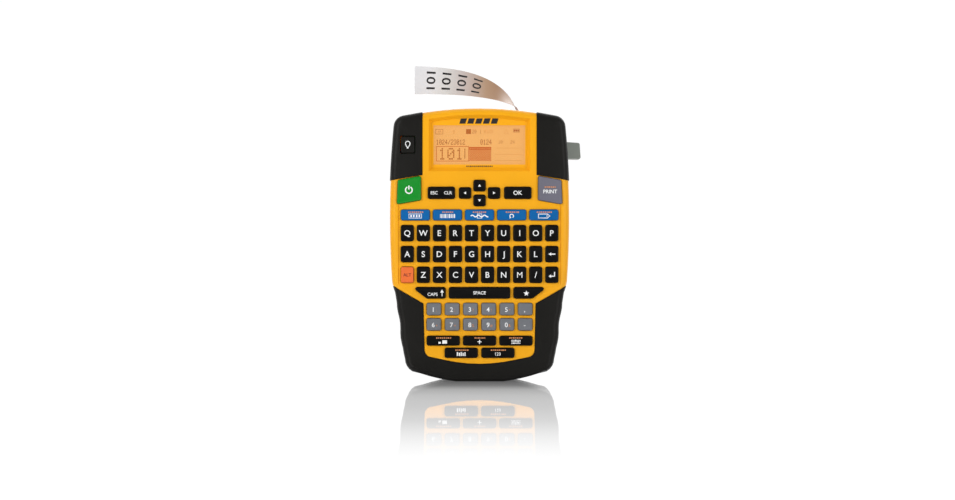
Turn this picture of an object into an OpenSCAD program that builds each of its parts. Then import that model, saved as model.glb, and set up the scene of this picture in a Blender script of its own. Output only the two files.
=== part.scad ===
// Handheld keyboard label maker, standing on its lower end.
// X runs to the right, Y from the keyboard to the battery side, Z up along the body.
// The origin is the middle of the flat foot at the lower end. Millimetres.

/* [Body] */
// Greatest width of the casing
body_width = 114; // [110:0.5:118]
// Depth of the casing from the key face to the rear face
body_depth = 58; // [56:0.5:62]
// Height of the crown of the top edge
body_height = 173.7; // [172:0.1:176]
// Width of the flat foot that the body stands on
foot_width = 30; // [24:1:36]
// Thickness of the rubber skins
rubber = 2; // [1.5:0.1:2.5]
// Wall thickness behind the key face
deck_wall = 2.2; // [1.8:0.1:2.6]
// How far the corner bumpers stand proud of the casing
bumper_proud = 0.5; // [0.2:0.1:0.8]
// Gap between a rubber skin and the casing beside it
skin_gap = 0.3; // [0.1:0.05:0.4]

/* [Keys] */
// How far a key stands proud of the key face
key_proud = 1.6; // [1.2:0.1:2.2]
// Depth of a key block from its front to its back
key_depth = 5; // [4.5:0.1:5.2]
// Clearance round each key
key_gap = 0.3; // [0.25:0.05:0.4]
// Pitch of the letter keys
letter_pitch = 10.17; // [10:0.01:10.4]
// Width of a letter key
letter_width = 7.9; // [7.4:0.1:8.4]
// Height of a letter key
letter_height = 10; // [9.4:0.1:10.2]
// Pitch of the number keys
number_pitch = 11.56; // [11.4:0.01:11.8]

/* [Display] */
// Width of the display window
window_width = 58.2; // [56:0.1:60]
// Height of the display window
window_height = 24.9; // [24:0.1:26]
// Depth of the recess in front of the window
recess_depth = 2.8; // [2:0.1:3]

/* [Label tape] */
// Width of the label tape
tape_width = 19; // [12:0.5:19]
// Length of the label beyond its guide
label_length = 98.8; // [60:0.2:100]

/* [Mechanism] */
// Module of the gear teeth
gear_module = 0.5; // [0.5:0.05:0.5]
// Teeth of the idler gear
idler_teeth = 40; // [40:1:40]
// Teeth of the motor pinion
pinion_teeth = 12; // [12:1:12]
// Teeth of the platen gear
platen_teeth = 22; // [22:1:22]
// Teeth of the ribbon spindle gear
ribbon_teeth = 20; // [20:1:20]

/* [Hidden] */
$fn = 48;
front_y = -body_depth / 2;
rear_y = body_depth / 2;
split_y = -2;
key_front_y = front_y - key_proud;
key_back_y = key_front_y + key_depth;
side_radius = 600;
widest_z = 104;
grip_top_z = 61.1;
top_radius = 230;
foot_radius = 120;
foot_drop = foot_radius - sqrt(foot_radius * foot_radius - foot_width * foot_width / 4);
cavity_inset = 3.95;
window_z = 150.35;
window_x = -0.1;

// Places of the mechanism: [x, z]
idler_at = [33, 122.7];
platen_at = [30.5, 138];
pinion_at = [38.5, 110.92];
ribbon_at = [18.5, 118.86];
spool_at = [-12, 127];
lever_at = [46, 130];
tape_x = 26;
tape_y = 12;
tape_thickness = 0.3;
blade_z = 147;
lid_hinge_z = 91.2;
door_hinge_z = 15.4;
cover_thickness = 2.1;
cover_mid_y = rear_y - cover_thickness / 2;
screw_places = [[46.8, 98], [36, 80]];
jack_z = 116;
jack_y = 10;

// ---------------------------------------------------------------- outline of the body

function side_x(z) = body_width / 2 - pow(z - widest_z, 2) / (2 * side_radius);
function grip_x(z) = 52.1 - (47 - z) * 0.118 + 0.4 * cos(360 * (z - 47) / 19);
function top_z(x) = body_height - x * x / (2 * top_radius);
function foot_z(x) = foot_radius - foot_drop - sqrt(foot_radius * foot_radius - x * x);

// The right-hand half of the outline, from the foot up to the crown
half_outline = concat(
    [[foot_width / 2, 0]],
    [for (x = [20 : 6 : 38]) [x, foot_z(x)]],
    [for (a = [-60 : 15 : 0]) [38 + 9.5 * cos(a), 14.6 + 9.5 * sin(a)]],
    [for (z = [18 : 3.2 : 53]) [grip_x(z), z]],
    [[53.7, 56.5], [54.9, 60]],
    [for (z = [64 : 9 : 154]) [side_x(z), z]],
    [for (a = [3 : 15 : 78]) [47.2 + 7 * cos(a), 161.8 + 7 * sin(a)]],
    [for (x = [42 : -7 : 7]) [x, top_z(x)]]
);
last = len(half_outline) - 1;
outline = concat(
    half_outline,
    [[0, body_height]],
    [for (i = [last : -1 : 0]) [-half_outline[i][0], half_outline[i][1]]]
);

function edge_normal(p, q) = [q[1] - p[1], p[0] - q[0]] / norm(q - p);
// A closed anticlockwise ring moved inwards by d, with its edges kept parallel
function inset_ring(ring, d) = let (n = len(ring)) [
    for (i = [0 : n - 1])
    let (
        before = edge_normal(ring[(i + n - 1) % n], ring[i]),
        after = edge_normal(ring[i], ring[(i + 1) % n])
    )
    ring[i] - d * (before + after) / (1 + before * after)
];

// The depth profile of the casing, as [y, inset] pairs from front to rear
function profile(skin, front_r, rear_r, steps) = concat(
    [for (k = [0 : steps]) let (a = 90 * k / steps) [
        front_y + skin + front_r * 1.25 * (1 - cos(a)), skin + front_r * (1 - sin(a))
    ]],
    [for (k = [steps : -1 : 0]) let (a = 90 * k / steps) [
        rear_y - skin - rear_r * 1.25 * (1 - cos(a)), skin + rear_r * (1 - sin(a))
    ]]
);

// A closed solid through the outline at each [y, inset] of a profile
module loft(stations) {
    n = len(outline);
    m = len(stations);
    points = [for (s = stations) each [for (p = inset_ring(outline, s[1])) [p[0], s[0], p[1]]]];
    sides = [for (j = [0 : m - 2]) each [for (i = [0 : n - 1]) each [
        [j * n + i, j * n + (i + 1) % n, (j + 1) * n + (i + 1) % n],
        [j * n + i, (j + 1) * n + (i + 1) % n, (j + 1) * n + i]
    ]]];
    caps = [[for (i = [n - 1 : -1 : 0]) i], [for (i = [0 : n - 1]) (m - 1) * n + i]];
    polyhedron(points = points, faces = concat(sides, caps));
}

module casing_solid() loft(profile(0, 4, 6.5, 4));
module skin_solid(grow) loft(profile(-grow, 4, 6.5, 4));
module core_solid() loft(profile(rubber + 0.02, 3, 4.7, 3));
module cavity_solid() loft([
    [front_y + 4, 6.5], [front_y + 7, cavity_inset],
    [rear_y - 8, cavity_inset], [rear_y - 4.5, 5.2], [rear_y - deck_wall, 6.6]
]);

// ---------------------------------------------------------------- small helpers

module block(x, y, z) {
    translate([x[0], y[0], z[0]]) cube([x[1] - x[0], y[1] - y[0], z[1] - z[0]]);
}
module slab(y) {
    translate([0, y[1], 0]) rotate([90, 0, 0]) linear_extrude(height = y[1] - y[0]) children();
}
module rod_y(at, r, y) {
    translate([at[0], y[1], at[1]]) rotate([90, 0, 0]) cylinder(r = r, h = y[1] - y[0]);
}
module rod_x(y, z, r, x) {
    translate([x[0], y, z]) rotate([0, 90, 0]) cylinder(r = r, h = x[1] - x[0]);
}
module both_sides() {
    children();
    mirror([1, 0, 0]) children();
}
// A block with rounded corners in the XZ plane
module soft_block(x, y, z, r) {
    hull() {
        for (cx = [x[0] + r, x[1] - r]) {
            for (cz = [z[0] + r, z[1] - r]) {
                rod_y([cx, cz], r, y, $fn = 16);
            }
        }
    }
}

function unit(v) = v / norm(v);
// The arc that rounds corner b between its neighbours a and c
function fillet(a, b, c, r, steps) = let (
    u = unit(a - b),
    v = unit(c - b),
    half = acos(u * v) / 2,
    centre = b + unit(u + v) * r / sin(half),
    from = b + u * r / tan(half) - centre,
    start = atan2(from[1], from[0])
) [for (k = [0 : steps]) let (t = start + (180 - 2 * half) * k / steps) centre + r * [cos(t), sin(t)]];
// A convex polygon, given anticlockwise, with its corners rounded
function rounded(corners, r, steps) = let (n = len(corners)) [
    for (i = [0 : n - 1])
    each fillet(corners[(i + n - 1) % n], corners[i], corners[(i + 1) % n], r, steps)
];
function box_corners(at, w, h) = [
    [at[0] - w / 2, at[1] - h / 2], [at[0] + w / 2, at[1] - h / 2],
    [at[0] + w / 2, at[1] + h / 2], [at[0] - w / 2, at[1] + h / 2]
];
function mirrored(corners) = [for (i = [len(corners) - 1 : -1 : 0]) [-corners[i][0], corners[i][1]]];

// ---------------------------------------------------------------- key plan: [x, z] places and corners

letter_x0 = -4.5 * letter_pitch;
function letter_places(z, first, final) = [for (i = [first : final]) [letter_x0 + i * letter_pitch, z]];
function number_places(z) = [for (i = [-2.5 : 2.5]) [i * number_pitch, z]];
function key_boxes(places, w, h) = [for (p = places) box_corners(p, w, h)];

power_key = [[-52.4, 112.6], [-37.1, 115.3], [-37.2, 130.5], [-51.7, 127.8]];
caps_key = [[-33.3, 53], [-21.6, 53], [-21.6, 60], [-42.6, 60]];
row_top = key_boxes(letter_places(94.3, 0, 9), letter_width, letter_height);
row_middle = key_boxes(letter_places(81, 0, 9), letter_width, letter_height);
row_bottom = key_boxes(letter_places(67.9, 1, 9), letter_width, letter_height);
row_numbers_high = key_boxes(number_places(46.2), 9, 7.6);
row_numbers_low = key_boxes(number_places(36.5), 9, 7.6);
function single(at, w, h) = [box_corners(at, w, h)];
backlight_at = [-45.5, 150.3];
function function_key(i) = single([20.35 * (i - 3), 105.8], 18.2, 6.6);
menu_keys = [
    single([-23, 26.2], 20.6, 5.9), single([0, 26.2], 20.6, 5.9), single([23, 26.2], 20.6, 5.9),
    single([-11.6, 18.5], 20.6, 6.1), single([11.6, 18.5], 20.6, 6.1)
];
escape_key = single([-24.2, 119.8], 16.9, 7.4);
ok_key = single([24.2, 119.8], 16.9, 7.4);
left_key = single([-9.2, 119.7], 7.4, 7);
right_key = single([9.2, 119.7], 7.4, 7);
up_key = single([0, 124.4], 7.4, 7);
down_key = single([0, 115], 7.4, 7);
alt_key = single([letter_x0, 67.9], letter_width, letter_height);
space_key = single([0, 56.5], 38.5, 7);
backlight_key = single(backlight_at, 8.6, 10.4);
deck_keys = concat(
    [power_key, mirrored(power_key), caps_key, mirrored(caps_key)],
    row_top, row_middle, row_bottom, row_numbers_high, row_numbers_low,
    [for (i = [1 : 5]) each function_key(i)], [for (k = menu_keys) each k],
    escape_key, ok_key, left_key, right_key, up_key, down_key, alt_key, space_key
);
key_corner = 1;

module caps(corner_lists) {
    for (corners = corner_lists) {
        slab([key_front_y, key_back_y]) polygon(rounded(corners, key_corner, 3));
    }
}
module key_holes(corner_lists, y) {
    for (corners = corner_lists) {
        slab(y) polygon(rounded(inset_ring(corners, -key_gap), key_corner + key_gap, 2));
    }
}
// ---------------------------------------------------------------- where rubber covers the casing

// The hard tongue that the grip leaves free at the front, grown by g
module front_tongue(g) {
    right = concat(
        [for (x = [0 : 7.5 : 24]) [x, 11.6 + 0.005 * x * x - g]],
        [for (a = [-68 : 17 : 0]) [30.1 + (4.6 + g) * cos(a), 20.4 + (4.6 + g) * sin(a)]],
        [[35.4 + g, 49.8 - 0.6 * g], [55 + g, grip_top_z - g], [70, grip_top_z + 3 - g]]
    );
    n = len(right) - 1;
    polygon(concat(right, [[70, 200], [-70, 200]], [for (i = [n : -1 : 1]) [-right[i][0], right[i][1]]]));
}
// The same at the rear, round the battery door
module rear_tongue(g) {
    polygon([
        [-30 - g, 10.2 - g], [30 + g, 10.2 - g], [32 + g, 12.2 - g], [32 + g, 52 - g / 2],
        [55 + g, grip_top_z + 1.5 - g], [70, grip_top_z + 5 - g], [70, 200],
        [-70, 200], [-70, grip_top_z + 5 - g], [-55 - g, grip_top_z + 1.5 - g], [-32 - g, 52 - g / 2],
        [-32 - g, 12.2 - g]
    ]);
}
// Where the upper right bumper lies, shrunk by g
module front_corner(g) {
    polygon([[36.1 + g, 131 + g], [58, 127.4 + g], [70, 127.4 + g], [70, 190], [36.1 + g, 190]]);
}
module rear_corner(g) {
    polygon([[44.5 + g, 134 + g], [70, 129.4 + g], [70, 190], [44.5 + g, 190]]);
}
module corner_region(g) {
    slab([front_y - 3, split_y]) front_corner(g);
    slab([split_y, rear_y + 3]) rear_corner(g);
}
module grip_region(g) {
    difference() {
        block([-70, 70], [front_y - 3, rear_y + 3], [-5, grip_top_z + 6]);
        slab([front_y - 4, split_y]) front_tongue(g);
        slab([split_y, rear_y + 4]) rear_tongue(g);
    }
}
// The casing with its rubber seats cut back
module seated_casing() {
    difference() {
        casing_solid();
        grip_region(0);
        both_sides() corner_region(0);
    }
    core_solid();
}

// ---------------------------------------------------------------- casing

module display_recess() {
    hull() {
        slab([front_y - 0.5, front_y - 0.4]) polygon([
            [-32.4, 133.2], [32.4, 133.2], [32.4, 167], [16, 169.1], [0, 169.7], [-16, 169.1], [-32.4, 167]
        ]);
        slab([front_y + recess_depth - 0.1, front_y + recess_depth]) polygon([
            [-30.4, 135.8], [30.4, 135.8], [30.4, 165], [16, 166.9], [0, 167.5], [-16, 166.9], [-30.4, 165]
        ]);
    }
}
lever_window_z = [139.6, 156.6];
module lever_window() {
    block([44, 70], [-8, 8], lever_window_z);
}
module front_boss(at) {
    hull() {
        rod_y(at, 3.4, [-18.4, split_y], $fn = 24);
        block([52.2, 53.4], [-18.4, split_y], [at[1] - 2, at[1] + 2]);
    }
}
module front_shell() {
    color([0.96, 0.67, 0.12]) difference() {
        union() {
            difference() {
                seated_casing();
                cavity_solid();
                block([-70, 70], [split_y, rear_y + 5], [-5, 200]);
                block([-48.5, 48.5], [front_y + deck_wall, front_y + 4.2], [64, 126.5]);
                block([-32, 32], [front_y + deck_wall, front_y + 4.2], [15, 65]);
            }
            both_sides() for (at = screw_places) front_boss(at);
            for (z = [[4.6, 8], [164.6, 171]]) hull() {
                rod_y([0, z[0]], 2, [-18.4, split_y], $fn = 16);
                rod_y([0, z[1]], 2, [-18.4, split_y], $fn = 16);
            }
        }
        soft_block([-45.6, 23], [-4.6, split_y + 1], [89.2, 162.2], 3);
        both_sides() for (at = screw_places) rod_y(at, 1.45, [-16, split_y + 1], $fn = 24);
        display_recess();
        block(
            [window_x - window_width / 2, window_x + window_width / 2], [front_y, front_y + 6],
            [window_z - window_height / 2, window_z + window_height / 2]
        );
        key_holes(deck_keys, [front_y - 2, -20]);
        soft_block([-51, -40], [front_y - 2, front_y + 6], [144.2, 156.5], 1);
        lever_window();
        both_sides() block([51.1, 51.5], [front_y - 1, front_y + 0.35], [62, 112]);
        exit_pocket();
    }
}

pocket_x = [10, 40];
pocket_y = [0.4, 23];
pocket_z = 160;
module exit_pocket() {
    soft_block(pocket_x, pocket_y, [pocket_z, 190], 1.5);
}
lid_opening_x = [-42.3, 42.3];
lid_opening_z = [lid_hinge_z - 1.5, 160.3];
door_opening_x = [-24.3, 24.3];
door_opening_z = [door_hinge_z - 1.45, 73.3];
module rear_boss(at) {
    hull() {
        rod_y(at, 3.9, [split_y, rear_y - 1], $fn = 24);
        block([50.5, 52.8], [split_y, rear_y - 6], [at[1] - 2, at[1] + 2]);
    }
}
module rear_shell() {
    color([0.96, 0.67, 0.12]) difference() {
        union() {
            difference() {
                union() {
                    difference() {
                        seated_casing();
                        cavity_solid();
                    }
                    intersection() {
                        core_solid();
                        soft_block([8.4, 41.6], [-1.2, 24.6], [158.4, 190], 2);
                    }
                    soft_block([-45.2, 22.6], [-4.2, rear_y - 2], [89.6, 161.8], 3);
                    soft_block([-26, 26], [-7, rear_y - 2], [12.2, 74.8], 3);
                    both_sides() for (at = screw_places) rear_boss(at);
                }
                block([-70, 70], [-40, split_y], [74.8, 89.6]);
                difference() {
                    block([-70, 70], [-40, split_y], [-5, 200]);
                    block([-45.2, 22.6], [-4.2, split_y + 1], [89.6, 161.8]);
                    block([-26, 26], [-7, split_y + 1], [12.2, 74.8]);
                }
                soft_block([-43.6, 23.5], [-2.6, rear_y + 1], [93, 158.2], 2);
                block([20, 30], [-2.6, rear_y - 2.1], [93, 158.2]);
                soft_block([-23.3, 23.3], [-5.4, rear_y + 1], [15.2, 72.4], 2);
                exit_pocket();
            }
        }
        soft_block(lid_opening_x, [rear_y - 2.6, rear_y + 1], lid_opening_z, 0.6);
        block([24, 42.3], [rear_y - 8, rear_y + 1], [94, 156]);
        soft_block(door_opening_x, [rear_y - 2.6, rear_y + 1], door_opening_z, 0.6);
        rod_x(cover_mid_y, lid_hinge_z, 0.9, [-44.5, 44.5], $fn = 24);
        rod_x(cover_mid_y, door_hinge_z, 0.9, [-26, 26], $fn = 24);
        block([tape_x - 1.2, tape_x + 4.2], [tape_y - 10.6, tape_y + 10.4], [150, 170]);
        rod_y(ribbon_at, 3.2, [-6, 0]);
        both_sides() for (at = screw_places) {
            rod_y(at, 1.6, [split_y - 1, rear_y + 1], $fn = 24);
            rod_y(at, 3.3, [rear_y - 3.6, rear_y + 1], $fn = 24);
        }
        lever_window();
        rod_x(jack_y, jack_z, 4.5, [-60, -50]);
        block([-54, -46], [jack_y - 5.6, jack_y + 5.6], [jack_z - 5.6, jack_z + 5.6]);
    }
}

module bumper(side) {
    difference() {
        intersection() {
            skin_solid(bumper_proud);
            corner_region(skin_gap);
        }
        core_solid();
        if (side < 0) mirror([1, 0, 0])
            soft_block([-50.4, -40.6], [front_y - 2, front_y + 6], [144.6, 156.1], 0.9);
        if (side > 0) block([44, 70], [-8, 8], lever_window_z);
    }
}
module corner_bumper_right() {
    color([0.12, 0.12, 0.11]) bumper(1);
}
module corner_bumper_left() {
    color([0.12, 0.12, 0.11]) mirror([1, 0, 0]) bumper(-1);
}
// Shallow finger grooves across each side of the grip
module grip_grooves() {
    both_sides() for (z = [18.5, 27.5, 36.5, 45.5]) hull() {
        translate([grip_x(z) + 0.8, -17, z]) sphere(r = 1.5, $fn = 12);
        translate([grip_x(z) + 0.8, 17, z]) sphere(r = 1.5, $fn = 12);
    }
}
module lower_grip() {
    color([0.12, 0.12, 0.11]) difference() {
        intersection() {
            casing_solid();
            grip_region(skin_gap);
        }
        core_solid();
        grip_grooves();
    }
}

// ---------------------------------------------------------------- display, board and keypad

module display_lens() {
    color([0.9, 0.75, 0.5, 0.5]) block([-31, 31], [-24.95, -23.75], [136.4, 164.3]);
}
module lcd_panel() {
    color([0.98, 0.7, 0.42]) union() {
        block([-33, 33], [-23.55, -21.2], [133.6, 165.4]);
        block([-30, 30], [-21.2, -20.5], [131, 166.6]);
    }
}
module main_board() {
    color([0.05, 0.35, 0.18]) union() {
        block([-49, 49], [-20.4, -18.8], [64, 160]);
        block([-40, 40], [-20.4, -18.8], [17, 64]);
        block([-14, 8], [-18.8, -17], [84, 98]);
        block([20, 30], [-18.8, -17.4], [84, 90]);
        block([-38, -30], [-18.8, -16.8], [88, 98]);
    }
}
module keypad_mat() {
    color([0.3, 0.3, 0.32]) union() {
        block([-50, 50], [-22.2, -20.6], [64, 129]);
        block([-34, 34], [-22.2, -20.6], [14.8, 64]);
        for (corners = deck_keys) {
            middle = (corners[0] + corners[1] + corners[2] + corners[3]) / 4;
            rod_y(middle, 1.8, [-24.4, -22.1]);
        }
    }
}

// ---------------------------------------------------------------- drive

gear_y = [-14.6, -11.8];
plate_y = [-11.2, -9.7];
shaft_r = 1.5;
pressure_angle = 25;
addendum = 0.8;
dedendum = 1.05;
tooth_slack = 2.4;

// One flank point of an involute at radius r: its angle from the tooth's middle
function involute_angle(r, base_r) =
    let (t = sqrt(max(0, r * r / (base_r * base_r) - 1))) (t * 180 / PI) - atan(t);
function gear_outline(teeth, phase) = let (
    pitch_r = teeth * gear_module / 2,
    base_r = pitch_r * cos(pressure_angle),
    root_r = pitch_r - dedendum * gear_module,
    tip_r = pitch_r + addendum * gear_module,
    half = 90 / teeth - tooth_slack * 4 / teeth + involute_angle(pitch_r, base_r),
    flank = [for (k = [0 : 3]) max(root_r, base_r) + (tip_r - max(root_r, base_r)) * k / 3]
) [for (i = [0 : teeth - 1]) let (a = phase + 360 * i / teeth) each concat(
    [polar(root_r, a - half - 10 / teeth)],
    [for (r = flank) polar(r, a - half + involute_angle(r, base_r))],
    [for (k = [3 : -1 : 0]) polar(flank[k], a + half - involute_angle(flank[k], base_r))],
    [polar(root_r, a + half + 10 / teeth)]
)];
function polar(r, a) = [r * cos(a), r * sin(a)];
function bearing(a, b) = atan2(b[1] - a[1], b[0] - a[0]);
// The phase at which gear b meshes with gear a of phase 0
function mesh_phase(a, b, teeth_a, teeth_b) = let (t = bearing(a, b))
    t + 180 - 180 / teeth_b + t * teeth_a / teeth_b;

module gear(at, teeth, phase, bore_r) {
    difference() {
        translate([at[0], 0, at[1]]) slab(gear_y) polygon(gear_outline(teeth, phase));
        rod_y(at, bore_r, [gear_y[0] - 1, gear_y[1] + 1]);
    }
}
module idler_gear() {
    color([0.85, 0.85, 0.8]) gear(idler_at, idler_teeth, 0, shaft_r + 0.05);
}
module motor_pinion() {
    color([0.8, 0.65, 0.3]) union() {
        gear(pinion_at, pinion_teeth, mesh_phase(idler_at, pinion_at, idler_teeth, pinion_teeth), 0.5);
        rod_y(pinion_at, 0.75, [gear_y[0], -8.8]);
    }
}
module platen_gear() {
    color([0.85, 0.85, 0.8])
    gear(
        platen_at, platen_teeth,
        mesh_phase(idler_at, platen_at, idler_teeth, platen_teeth), shaft_r + 0.02
    );
}
module ribbon_spindle() {
    color([0.9, 0.9, 0.86]) union() {
        gear(ribbon_at, ribbon_teeth, mesh_phase(idler_at, ribbon_at, idler_teeth, ribbon_teeth), 0.8);
        rod_y(ribbon_at, shaft_r, [gear_y[0], -9]);
        rod_y(ribbon_at, 2.2, [-9.2, 14]);
        translate([ribbon_at[0], 0, ribbon_at[1]]) block([-2.8, 2.8], [0, 13], [-0.5, 0.5]);
        translate([ribbon_at[0], 0, ribbon_at[1]]) block([-0.5, 0.5], [0, 13], [-2.8, 2.8]);
    }
}
module platen_roller() {
    color([0.2, 0.2, 0.2]) union() {
        rod_y(platen_at, shaft_r, [gear_y[0] - 0.6, 25]);
        rod_y(platen_at, 4, [1, 23.4]);
    }
}
module drive_motor() {
    color([0.7, 0.7, 0.72]) difference() {
        union() {
            intersection() {
                rod_y(pinion_at, 7.7, [-9.6, 9]);
                translate([pinion_at[0], 0, pinion_at[1]]) block([-6.1, 6.1], [-10, 10], [-8, 8]);
            }
            rod_y(pinion_at, 3, [9, 10.4]);
        }
        rod_y(pinion_at, 0.85, [-10, -8.2]);
    }
}
module print_head() {
    color([0.75, 0.75, 0.78]) union() {
        block([22.9, 25.1], [-2.5, 23], [131, 145]);
        block([25.1, 25.7], [1.6, 22.4], [134.6, 141.4]);
    }
}
module mechanism_frame() {
    color([0.62, 0.64, 0.66]) difference() {
        union() {
            block([9, 51], plate_y, [103, 154]);
            rod_y(idler_at, shaft_r, [gear_y[0] - 0.4, plate_y[0] + 0.1]);
            block([34, 38], [plate_y[1] - 0.1, 24.8], [144, 150]);
            for (at = [[12, 106], [12, 151], [48, 151]]) rod_y(at, 2, [-18.7, plate_y[0] + 0.1]);
        }
        rod_y(platen_at, shaft_r + 0.05, [-20, 0]);
        rod_y(ribbon_at, shaft_r + 0.05, [-20, 0]);
        rod_y(pinion_at, 1.5, [-20, 0]);
        block([30, 42], [0.8, 23.6], [blade_z - 0.6, blade_z + 0.7]);
    }
}

// ---------------------------------------------------------------- cutter

module lever_pivot_pin() {
    color([0.75, 0.75, 0.78]) rod_y(lever_at, shaft_r, [plate_y[1], 19]);
}
module cutter_lever() {
    color([0.5, 0.53, 0.5]) difference() {
        union() {
            rod_y(lever_at, 3.8, [-8.6, 15]);
            block([44.6, 49.4], [-7, 15], [130, 152]);
            slab([-6.8, 6.8])
                polygon(rounded([[49, 142.6], [65.3, 142.3], [64.6, 152.7], [49, 153.7]], 1.2, 4));
        }
        rod_y(lever_at, shaft_r + 0.05, [-10, 20]);
    }
}
module lever_spring() {
    color([0.7, 0.7, 0.72]) union() {
        for (y = [15.8 : 0.75 : 18.1]) {
            translate([lever_at[0], y, lever_at[1]]) rotate([90, 0, 0])
            rotate_extrude() translate([2.6, 0]) circle(r = 0.35, $fn = 16);
        }
        translate([lever_at[0] + 2.6, 15.8, lever_at[1]]) rotate([0, 0, 0]) cylinder(r = 0.35, h = 0.9);
        rod_y([lever_at[0] - 2.6, lever_at[1]], 0.35, [15.8, 18.05]);
    }
}
module cutter_blade() {
    color([0.85, 0.86, 0.88]) slab([1.2, 23.2]) polygon([
        [27.2, blade_z], [29, blade_z - 0.3], [44, blade_z - 0.3], [44, blade_z + 0.3], [29, blade_z + 0.3]
    ]);
}

// ---------------------------------------------------------------- cassette and label

cassette_y = [-2, 24.4];
cassette_wall = 1.4;
module cassette_case() {
    color([0.93, 0.93, 0.9]) difference() {
        union() {
            difference() {
                slab(cassette_y) polygon(rounded(box_corners([-9.5, 126], 63, 60), 5, 5));
                slab([cassette_y[0] + cassette_wall, cassette_y[1] - cassette_wall])
                polygon(rounded(box_corners([-9.5, 126], 60.2, 57.2), 3.6, 5));
                slab([cassette_y[1] - 2, cassette_y[1] + 1])
                polygon(rounded(box_corners([-25, 126], 14, 36), 3, 4));
            }
            rod_y(spool_at, 4, [cassette_y[0] + 0.5, cassette_y[1] - 0.5]);
        }
        rod_y(ribbon_at, 4.2, [cassette_y[0] - 1, cassette_y[1] - 3]);
        block([20, 23], [tape_y - 10, tape_y + 10], [128, 131.5]);
    }
}
module tape_spool() {
    color([0.85, 0.86, 0.9]) difference() {
        union() {
            rod_y(spool_at, 24, [tape_y - tape_width / 2, tape_y + tape_width / 2]);
            rod_y(spool_at, 8, [1.8, 22.2]);
        }
        rod_y(spool_at, 4.06, [0, 24]);
    }
}

// How far the leaving label leans and how far it has twisted, in degrees, s mm beyond its guide
function label_lean(s) = -12.9 + 106.6 * (1 - exp(-max(s - 10.5, 0) / 26.6));
function label_twist(s) = 89.5 * (1 - exp(-max(s - 28, 0) / 34.7));
function label_heading(s) = [-sin(label_lean(s)), 0, cos(label_lean(s))];
label_steps = 40;
label_step = label_length / label_steps;
label_line = [
    for (
        k = 0, p = [tape_x, tape_y, blade_z + 3];
        k <= label_steps;
        p = p + label_step * label_heading((k + 0.5) * label_step), k = k + 1
    ) p
];
function strip_ring(p, s) = let (
    up = [cos(label_lean(s)), 0, sin(label_lean(s))],
    across = cos(label_twist(s)) * [0, 1, 0] + sin(label_twist(s)) * up,
    w = across * tape_width / 2,
    n = cross(across, label_heading(s)) * tape_thickness / 2
) [p - w - n, p + w - n, p + w + n, p - w + n];
function upright_ring(z) = [
    for (c = [[-1, -1], [-1, 1], [1, 1], [1, -1]])
    [tape_x + c[0] * tape_thickness / 2, tape_y + c[1] * tape_width / 2, z]
];
module strip(rings) {
    n = len(rings);
    // both broad faces are split along the same diagonal, so a twisted strip keeps its thickness
    sides = [for (j = [0 : n - 2]) each [for (i = [0 : 3]) each let (
        a = 4 * j + i, b = 4 * j + (i + 1) % 4, c = b + 4, d = a + 4
    ) i < 2 ? [[a, b, c], [a, c, d]] : [[a, b, d], [b, c, d]]]];
    caps = [[3, 2, 1, 0], [4 * n - 4, 4 * n - 3, 4 * n - 2, 4 * n - 1]];
    polyhedron(points = [for (r = rings) each r], faces = concat(sides, caps));
}
module label_strip() {
    color([0.88, 0.88, 0.9]) union() {
        block(
            [tape_x - tape_thickness / 2, tape_x + tape_thickness / 2],
            [tape_y - tape_width / 2, tape_y + tape_width / 2], [128.5, blade_z - 1.2]
        );
        strip(concat(
            [upright_ring(blade_z + 1.4)],
            [for (k = [0 : label_steps]) strip_ring(label_line[k], k * label_step)]
        ));
    }
}

// ---------------------------------------------------------------- covers, power

module cassette_lid() {
    color([0.14, 0.14, 0.14]) difference() {
        union() {
            slab([rear_y - cover_thickness, rear_y])
            polygon(rounded(box_corners([0, (lid_hinge_z + 160) / 2], 84, 160 - lid_hinge_z), 1.5, 3));
            block([-42, 42], [rear_y - cover_thickness, rear_y], [lid_hinge_z, lid_hinge_z + 3]);
            rod_x(cover_mid_y, lid_hinge_z, cover_thickness / 2, [-42, 42]);
            rod_x(cover_mid_y, lid_hinge_z, 0.7, [-43.6, 43.6]);
            for (x = [-38, 38]) block([x - 0.8, x + 0.8], [rear_y - 3.6, rear_y - 2], [100, 150]);
        }
        block([-7.4, 7.4], [rear_y - 3, rear_y + 1], [148.8, 158.4]);
        slab([rear_y - 3, rear_y + 1]) polygon(rounded(box_corners([-25, 126], 17, 39), 3, 4));
    }
}
module lid_latch() {
    color([0.2, 0.2, 0.2]) union() {
        block([-7, 7], [rear_y - 2, rear_y + 0.3], [150.8, 158]);
        for (z = [152.2, 153.6, 155, 156.4]) block([-5.5, 5.5], [rear_y + 0.2, rear_y + 0.7], [z, z + 0.6]);
    }
}
module battery_door() {
    color([0.14, 0.14, 0.14]) union() {
        slab([rear_y - cover_thickness, rear_y])
        polygon(rounded(box_corners([0, (door_hinge_z + 73) / 2], 48, 73 - door_hinge_z), 1.5, 3));
        block([-24, 24], [rear_y - cover_thickness, rear_y], [door_hinge_z, door_hinge_z + 3]);
        rod_x(cover_mid_y, door_hinge_z, cover_thickness / 2, [-24, 24]);
        rod_x(cover_mid_y, door_hinge_z, 0.7, [-25.4, 25.4]);
        for (z = [62, 64, 66, 68]) block([-8, 8], [rear_y - 0.2, rear_y + 0.6], [z, z + 0.9]);
    }
}
cell_r = 7.1;
cell_places = [for (x = [-15, 0, 15]) for (y = [3, 18.2]) [x, y]];
module battery_cells() {
    color([0.2, 0.22, 0.25]) for (i = [0 : len(cell_places) - 1]) {
        translate([cell_places[i][0], cell_places[i][1], 19.6 + (i % 2 == 0 ? 0 : 1)]) union() {
            cylinder(r = cell_r, h = 49.2);
            translate([0, 0, i % 2 == 0 ? 49.2 : -1]) cylinder(r = 2.6, h = 1);
        }
    }
}
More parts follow.
